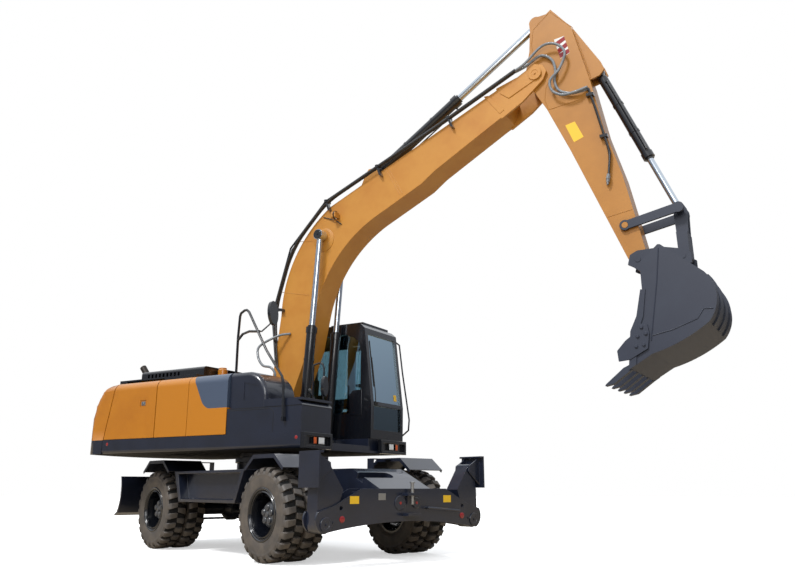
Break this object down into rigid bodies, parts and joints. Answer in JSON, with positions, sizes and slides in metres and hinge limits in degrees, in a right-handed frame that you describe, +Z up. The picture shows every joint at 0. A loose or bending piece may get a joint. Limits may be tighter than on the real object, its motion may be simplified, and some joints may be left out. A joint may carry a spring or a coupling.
{
  "type": "wheeled excavator",
  "caption": "Two-axle wheeled excavator on twin tyres with slewing cab, bent boom, arm and bucket, swing-down outriggers and a small dozer blade.",
  "frame": {"origin": "on the ground under the centre of the machine's bounding box as pictured", "axes": "+X along the boom from its foot towards the bucket, +Z up, +Y to the driver's left, so the cab is on the +Y side; the undercarriage stands turned 18.21 degrees under the slewing upper body"},
  "size_m": [8.9019, 4.0422, 6.8268],
  "materials": {
    "cast_engine": "oily",
    "exhaust_steel": "heat-stained",
    "lamp_lens": "clear coloured",
    "paint_black": "satin black enamel",
    "paint_yellow": "sun-faded satin enamel, dusty",
    "rod_chrome": "polished",
    "seat_cloth": "woven",
    "steel_blue_grey": "satin dark enamel, dusty",
    "tyre_rubber": "dry and dusty",
    "window_glass": "tinted"
  },
  "bodies": {
    "undercarriage": {"chassis_frame": "steel_blue_grey", "outrigger_beam": "steel_blue_grey", "drive_axle": "steel_blue_grey", "steering_axle": "steel_blue_grey", "drive_shaft": "steel_blue_grey", "fenders": "steel_blue_grey", "step_boxes": "steel_blue_grey", "swing_bearing": "steel_blue_grey"},
    "upper": {"revolving_frame": "steel_blue_grey", "counterweight": "paint_yellow", "engine_block": "cast_engine", "tanks_and_locker": "paint_yellow", "engine_bay_frame": "paint_black", "tool_box": "steel_blue_grey", "exhaust_pipe": "exhaust_steel", "cab_shell": "paint_black", "cab_glass": "window_glass", "driver_seat": "seat_cloth", "cab_controls": "paint_black", "front_lamps": "lamp_lens", "handrails": "paint_black", "mirrors": "paint_black"},
    "wheel_drive_left": {"wheel_drive_left": "paint_black", "tyres_drive_left": "tyre_rubber"},
    "wheel_drive_right": {"wheel_drive_right": "paint_black", "tyres_drive_right": "tyre_rubber"},
    "wheel_steer_left": {"wheel_steer_left": "paint_black", "tyres_steer_left": "tyre_rubber"},
    "wheel_steer_right": {"wheel_steer_right": "paint_black", "tyres_steer_right": "tyre_rubber"},
    "knuckle_left": {"knuckle_left": "steel_blue_grey"},
    "knuckle_right": {"knuckle_right": "steel_blue_grey"},
    "track_rod": {"track_rod": "steel_blue_grey"},
    "outrigger_leg_left": {"outrigger_leg_left": "steel_blue_grey"},
    "outrigger_leg_right": {"outrigger_leg_right": "steel_blue_grey"},
    "outrigger_pad_left": {"outrigger_pad_left": "steel_blue_grey"},
    "outrigger_pad_right": {"outrigger_pad_right": "steel_blue_grey"},
    "dozer_blade": {"dozer_blade": "steel_blue_grey"},
    "blade_cylinder_barrels": {"blade_cylinder_barrels": "paint_black"},
    "blade_cylinder_rods": {"blade_cylinder_rods": "rod_chrome"},
    "engine_hood": {"engine_hood": "paint_yellow", "air_precleaner": "paint_yellow"},
    "service_door_left": {"service_door_left": "paint_yellow"},
    "service_door_right": {"service_door_right": "paint_yellow"},
    "tool_box_lid": {"tool_box_lid": "steel_blue_grey"},
    "cab_door": {"cab_door": "paint_black", "cab_door_glass": "window_glass"},
    "boom": {"boom": "paint_yellow", "boom_pipes": "paint_black"},
    "arm": {"arm": "paint_yellow", "arm_pipes": "paint_black"},
    "bucket": {"bucket": "steel_blue_grey"},
    "idler_links": {"idler_links": "steel_blue_grey"},
    "bucket_link": {"bucket_link": "steel_blue_grey"},
    "boom_cylinder_barrels": {"boom_cylinder_barrels": "paint_black"},
    "boom_cylinder_rods": {"boom_cylinder_rods": "rod_chrome"},
    "arm_cylinder_barrel": {"arm_cylinder_barrel": "paint_black"},
    "arm_cylinder_rod": {"arm_cylinder_rod": "rod_chrome"},
    "bucket_cylinder_barrel": {"bucket_cylinder_barrel": "paint_black"},
    "bucket_cylinder_rod": {"bucket_cylinder_rod": "rod_chrome"}
  },
  "joints": [
    {"name": "swing", "type": "hinge", "parent": "undercarriage", "child": "upper", "pos_m": [-1.5113, 0.0121, 1.22], "axis": [0, 0, 1], "continuous": true},
    {"name": "steer_left", "type": "hinge", "parent": "undercarriage", "child": "knuckle_left", "pos_m": [-2.54074, 1.08767, 0.5275], "axis": [0, 0, 1], "range_deg": [-28, 28]},
    {"name": "steer_right", "type": "hinge", "parent": "undercarriage", "child": "knuckle_right", "pos_m": [-2.97824, -0.24222, 0.5275], "axis": [0, 0, 1], "range_deg": [-29, 29]},
    {"name": "track_rod_slide", "type": "slide", "parent": "undercarriage", "child": "track_rod", "axis": [0.3125, 0.9499, 0], "range_m": [-0.13, 0.13]},
    {"name": "wheel_drive_left_spin", "type": "hinge", "parent": "undercarriage", "child": "wheel_drive_left", "pos_m": [0.24684, 0.44117, 0.5275], "axis": [0.3125, 0.9499, 0], "continuous": true},
    {"name": "wheel_drive_right_spin", "type": "hinge", "parent": "undercarriage", "child": "wheel_drive_right", "pos_m": [-0.35129, -1.37697, 0.5275], "axis": [0.3125, 0.9499, 0], "continuous": true},
    {"name": "wheel_steer_left_spin", "type": "hinge", "parent": "knuckle_left", "child": "wheel_steer_left", "pos_m": [-2.46043, 1.3318, 0.5275], "axis": [0.3125, 0.9499, 0], "continuous": true},
    {"name": "wheel_steer_right_spin", "type": "hinge", "parent": "knuckle_right", "child": "wheel_steer_right", "pos_m": [-3.05855, -0.48635, 0.5275], "axis": [0.3125, 0.9499, 0], "continuous": true},
    {"name": "outrigger_left", "type": "hinge", "parent": "undercarriage", "child": "outrigger_leg_left", "pos_m": [1.19706, 0.29279, 0.45], "axis": [-0.9499, 0.3125, 0], "range_deg": [0, 125]},
    {"name": "outrigger_pad_left_tilt", "type": "hinge", "parent": "outrigger_leg_left", "child": "outrigger_pad_left", "pos_m": [1.19612, 0.28994, 1.045], "axis": [-0.9499, 0.3125, 0], "range_deg": [-36, 1]},
    {"name": "outrigger_right", "type": "hinge", "parent": "undercarriage", "child": "outrigger_leg_right", "pos_m": [0.50143, -1.82172, 0.45], "axis": [0.9499, -0.3125, 0], "range_deg": [0, 125]},
    {"name": "outrigger_pad_right_tilt", "type": "hinge", "parent": "outrigger_leg_right", "child": "outrigger_pad_right", "pos_m": [0.50237, -1.81887, 1.045], "axis": [0.9499, -0.3125, 0], "range_deg": [-36, 1]},
    {"name": "blade_lift", "type": "hinge", "parent": "undercarriage", "child": "dozer_blade", "pos_m": [-3.31614, 0.60585, 0.56], "axis": [-0.3125, -0.9499, 0], "range_deg": [0, 45]},
    {"name": "blade_cylinder_tilt", "type": "hinge", "parent": "undercarriage", "child": "blade_cylinder_barrels", "pos_m": [-3.42063, 0.64023, 0.94], "axis": [-0.3125, -0.9499, 0], "range_deg": [-0.5, 29.4]},
    {"name": "blade_cylinder_stroke", "type": "slide", "parent": "blade_cylinder_barrels", "child": "blade_cylinder_rods", "axis": [-0.7381, 0.2428, -0.6295], "range_m": [-0.01, 0.2658]},
    {"name": "boom_lift", "type": "hinge", "parent": "upper", "child": "boom", "pos_m": [-1.4303, 0.0121, 1.875], "axis": [0, -1, 0], "range_deg": [-70, 12]},
    {"name": "boom_cylinder_tilt", "type": "hinge", "parent": "upper", "child": "boom_cylinder_barrels", "pos_m": [-0.9413, 0.0121, 1.42], "axis": [0, -1, 0], "range_deg": [-66.44, 11.8]},
    {"name": "boom_cylinder_stroke", "type": "slide", "parent": "boom_cylinder_barrels", "child": "boom_cylinder_rods", "axis": [0.0747, 0, 0.9972], "range_m": [-0.767, 0.1398]},
    {"name": "arm_swing", "type": "hinge", "parent": "boom", "child": "arm", "pos_m": [2.5287, 0.0121, 5.938], "axis": [0, 1, 0], "range_deg": [-86, 18]},
    {"name": "arm_cylinder_tilt", "type": "hinge", "parent": "boom", "child": "arm_cylinder_barrel", "pos_m": [0.0087, 0.0121, 5.13], "axis": [0, 1, 0], "range_deg": [-0.5, 0.51]},
    {"name": "arm_cylinder_stroke", "type": "slide", "parent": "arm_cylinder_barrel", "child": "arm_cylinder_rod", "axis": [0.8426, 0, 0.5386], "range_m": [-1.1317, 0.2448]},
    {"name": "bucket_curl", "type": "hinge", "parent": "arm", "child": "bucket", "pos_m": [3.6117, 0.0121, 3.301], "axis": [0, 1, 0], "range_deg": [-70, 70]},
    {"name": "idler_swing", "type": "hinge", "parent": "arm", "child": "idler_links", "pos_m": [3.4997, 0.0121, 3.723], "axis": [0, 1, 0], "range_deg": [-56.44, 56.44]},
    {"name": "bucket_link_swing", "type": "hinge", "parent": "bucket", "child": "bucket_link", "pos_m": [4.0907, 0.0121, 3.27], "axis": [0, 1, 0], "range_deg": [-54.35, 54.35]},
    {"name": "bucket_cylinder_tilt", "type": "hinge", "parent": "arm", "child": "bucket_cylinder_barrel", "pos_m": [3.2937, 0.0121, 5.821], "axis": [0, 1, 0], "range_deg": [-1.41, 1.41]},
    {"name": "bucket_cylinder_stroke", "type": "slide", "parent": "bucket_cylinder_barrel", "child": "bucket_cylinder_rod", "axis": [0.3717, 0, -0.9283], "range_m": [-0.5364, 0.5364]},
    {"name": "cab_door_hinge", "type": "hinge", "parent": "upper", "child": "cab_door", "pos_m": [-1.1893, 1.2891, 2.2], "axis": [0, 0, 1], "range_deg": [0, 170]},
    {"name": "service_door_left_hinge", "type": "hinge", "parent": "upper", "child": "service_door_left", "pos_m": [-2.7173, 1.2551, 1.85], "axis": [0, 0, -1], "range_deg": [0, 100]},
    {"name": "service_door_right_hinge", "type": "hinge", "parent": "upper", "child": "service_door_right", "pos_m": [-2.7173, -1.2309, 1.85], "axis": [0, 0, 1], "range_deg": [0, 100]},
    {"name": "engine_hood_hinge", "type": "hinge", "parent": "upper", "child": "engine_hood", "pos_m": [-2.0953, 0.0121, 2.29], "axis": [0, 1, 0], "range_deg": [0, 50]},
    {"name": "tool_box_lid_hinge", "type": "hinge", "parent": "upper", "child": "tool_box_lid", "pos_m": [-0.7993, -0.9329, 1.89], "axis": [0, -1, 0], "range_deg": [0, 80]}
  ],
  "couplings": [
    {"joint": "steer_right", "follows": "steer_left", "ratio": 1},
    {"joint": "track_rod_slide", "follows": "steer_left", "m_per_rad": -0.23},
    {"joint": "outrigger_pad_left_tilt", "follows": "outrigger_left", "ratio": -0.28},
    {"joint": "outrigger_pad_right_tilt", "follows": "outrigger_right", "ratio": -0.28},
    {"joint": "blade_cylinder_tilt", "follows": "blade_lift", "ratio": 0.64224},
    {"joint": "blade_cylinder_stroke", "follows": "blade_lift", "m_per_rad": 0.32565},
    {"joint": "boom_cylinder_tilt", "follows": "boom_lift", "ratio": 0.94203},
    {"joint": "boom_cylinder_stroke", "follows": "boom_lift", "m_per_rad": 0.61957},
    {"joint": "arm_cylinder_tilt", "follows": "arm_swing", "ratio": -0.00011},
    {"joint": "arm_cylinder_stroke", "follows": "arm_swing", "m_per_rad": 0.74728},
    {"joint": "idler_swing", "follows": "bucket_curl", "ratio": 0.79196},
    {"joint": "bucket_link_swing", "follows": "bucket_curl", "ratio": -0.76217},
    {"joint": "bucket_cylinder_tilt", "follows": "bucket_curl", "ratio": 0.01299},
    {"joint": "bucket_cylinder_stroke", "follows": "bucket_curl", "m_per_rad": 0.43083}
  ]
}
